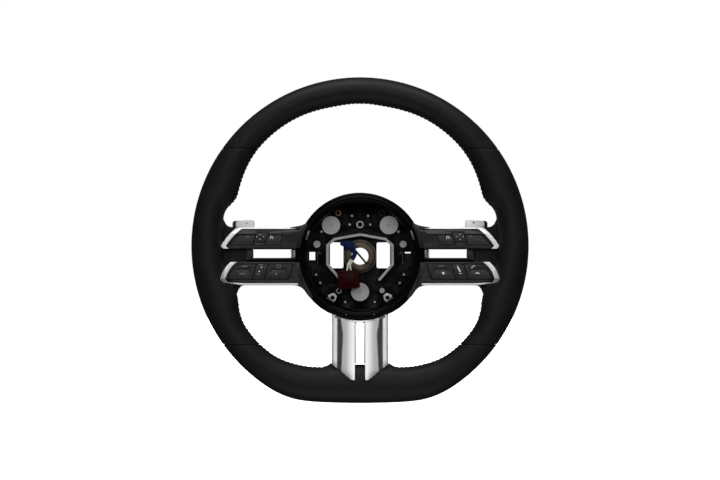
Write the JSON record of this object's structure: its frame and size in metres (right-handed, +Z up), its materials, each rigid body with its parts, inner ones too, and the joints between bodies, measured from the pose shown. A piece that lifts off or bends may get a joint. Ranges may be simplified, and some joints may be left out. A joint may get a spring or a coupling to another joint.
{
  "type": "steering wheel",
  "caption": "Flat-bottomed car steering wheel with a leather rim, open hub, twin-deck control spokes with keys, shift paddles and a split lower spoke.",
  "frame": {"origin": "on the steering axis, at the back end of the hub insert's bore, where it seats on the column", "axes": "+Y along the steering axis, away from the driver towards the column; +Z up with the wheel straight ahead; +X to the driver's right"},
  "size_m": [0.37, 0.0851, 0.3574],
  "materials": {
    "leather": "fine-grained black leather, satin",
    "black_casting": "black coated light-alloy casting with bare machined pads",
    "steel": "plain steel",
    "hub_steel": "turned steel with a bronze tone",
    "gloss_black": "gloss black",
    "key_black": "satin to gloss black",
    "bright_trim": "bright satin metal",
    "satin_silver": "satin silver",
    "matte_black": "fine-textured black",
    "board_green": "circuit board",
    "red_plastic": "dark red",
    "blue_plastic": "blue",
    "white_lead": "pale insulation",
    "black_lead": "black insulation",
    "brass": "plain brass"
  },
  "bodies": {
    "wheel": {"armature": "black_casting", "black_lead": "black_lead", "blue_connector": "blue_plastic", "blue_lead": "blue_plastic", "bottom_grip": "leather", "control_module": "matte_black", "cover_screws": "steel", "housing_screws": "steel", "hub_insert": "hub_steel", "hub_ring": "gloss_black", "left_airbag_clip": "steel", "left_gap_clip": "steel", "left_grip": "leather", "left_lower_board": "board_green", "left_lower_bright_trim": "bright_trim", "left_lower_housing": "gloss_black", "left_paddle_housing": "matte_black", "left_paddle_pin": "steel", "left_paddle_switch": "matte_black", "left_retaining_spring": "steel", "left_upper_board": "board_green", "left_upper_bright_trim": "bright_trim", "left_upper_housing": "gloss_black", "lower_spoke_liner": "matte_black", "lower_spoke_trim": "satin_silver", "rear_cover": "matte_black", "red_connector": "red_plastic", "right_airbag_clip": "steel", "right_gap_clip": "steel", "right_grip": "leather", "right_lower_board": "board_green", "right_lower_bright_trim": "bright_trim", "right_lower_housing": "gloss_black", "right_paddle_housing": "matte_black", "right_paddle_pin": "steel", "right_paddle_switch": "matte_black", "right_retaining_spring": "steel", "right_upper_board": "board_green", "right_upper_bright_trim": "bright_trim", "right_upper_housing": "gloss_black", "threaded_inserts": "brass", "top_grip": "leather", "white_leads": "white_lead"},
    "right_paddle": {"right_paddle_core": "matte_black", "right_paddle_cap": "satin_silver"},
    "right_upper_inner_key": {"right_upper_inner_key": "key_black"},
    "right_upper_pad_key": {"right_upper_pad_key": "key_black"},
    "right_upper_outer_key": {"right_upper_outer_key": "key_black"},
    "right_lower_inner_key": {"right_lower_inner_key": "key_black"},
    "right_lower_pad_key": {"right_lower_pad_key": "key_black"},
    "right_lower_outer_key": {"right_lower_outer_key": "key_black"},
    "left_paddle": {"left_paddle_core": "matte_black", "left_paddle_cap": "satin_silver"},
    "left_upper_inner_key": {"left_upper_inner_key": "key_black"},
    "left_upper_pad_key": {"left_upper_pad_key": "key_black"},
    "left_upper_outer_key": {"left_upper_outer_key": "key_black"},
    "left_lower_inner_key": {"left_lower_inner_key": "key_black"},
    "left_lower_pad_key": {"left_lower_pad_key": "key_black"},
    "left_lower_outer_key": {"left_lower_outer_key": "key_black"}
  },
  "joints": [
    {"name": "right_paddle_pull", "type": "hinge", "parent": "wheel", "child": "right_paddle", "pos_m": [0.104, -0.026, 0.02], "axis": [0, 0, -1], "range_deg": [0, 4.5], "stiffness_Nm_per_rad": 2},
    {"name": "right_upper_inner_push", "type": "slide", "parent": "wheel", "child": "right_upper_inner_key", "axis": [0, 1, 0], "range_m": [0, 0.0006], "stiffness_N_per_m": 1500},
    {"name": "right_upper_pad_push", "type": "slide", "parent": "wheel", "child": "right_upper_pad_key", "axis": [0, 1, 0], "range_m": [0, 0.0006], "stiffness_N_per_m": 1500},
    {"name": "right_upper_outer_push", "type": "slide", "parent": "wheel", "child": "right_upper_outer_key", "axis": [0, 1, 0], "range_m": [0, 0.0006], "stiffness_N_per_m": 1500},
    {"name": "right_lower_inner_rock", "type": "hinge", "parent": "wheel", "child": "right_lower_inner_key", "pos_m": [0.08931, -0.0535, -0.0167], "axis": [1, 0, 0], "range_deg": [-2.5, 2.5], "stiffness_Nm_per_rad": 0.06},
    {"name": "right_lower_pad_push", "type": "slide", "parent": "wheel", "child": "right_lower_pad_key", "axis": [0, 1, 0], "range_m": [0, 0.0006], "stiffness_N_per_m": 1500},
    {"name": "right_lower_outer_rock", "type": "hinge", "parent": "wheel", "child": "right_lower_outer_key", "pos_m": [0.12858, -0.0535, -0.0167], "axis": [1, 0, 0], "range_deg": [-2.5, 2.5], "stiffness_Nm_per_rad": 0.06},
    {"name": "left_paddle_pull", "type": "hinge", "parent": "wheel", "child": "left_paddle", "pos_m": [-0.104, -0.026, 0.02], "axis": [0, 0, 1], "range_deg": [0, 4.5], "stiffness_Nm_per_rad": 2},
    {"name": "left_upper_inner_push", "type": "slide", "parent": "wheel", "child": "left_upper_inner_key", "axis": [0, 1, 0], "range_m": [0, 0.0006], "stiffness_N_per_m": 1500},
    {"name": "left_upper_pad_push", "type": "slide", "parent": "wheel", "child": "left_upper_pad_key", "axis": [0, 1, 0], "range_m": [0, 0.0006], "stiffness_N_per_m": 1500},
    {"name": "left_upper_outer_push", "type": "slide", "parent": "wheel", "child": "left_upper_outer_key", "axis": [0, 1, 0], "range_m": [0, 0.0006], "stiffness_N_per_m": 1500},
    {"name": "left_lower_inner_rock", "type": "hinge", "parent": "wheel", "child": "left_lower_inner_key", "pos_m": [-0.08931, -0.0535, -0.0167], "axis": [1, 0, 0], "range_deg": [-2.5, 2.5], "stiffness_Nm_per_rad": 0.06},
    {"name": "left_lower_pad_push", "type": "slide", "parent": "wheel", "child": "left_lower_pad_key", "axis": [0, 1, 0], "range_m": [0, 0.0006], "stiffness_N_per_m": 1500},
    {"name": "left_lower_outer_rock", "type": "hinge", "parent": "wheel", "child": "left_lower_outer_key", "pos_m": [-0.12858, -0.0535, -0.0167], "axis": [1, 0, 0], "range_deg": [-2.5, 2.5], "stiffness_Nm_per_rad": 0.06}
  ]
}
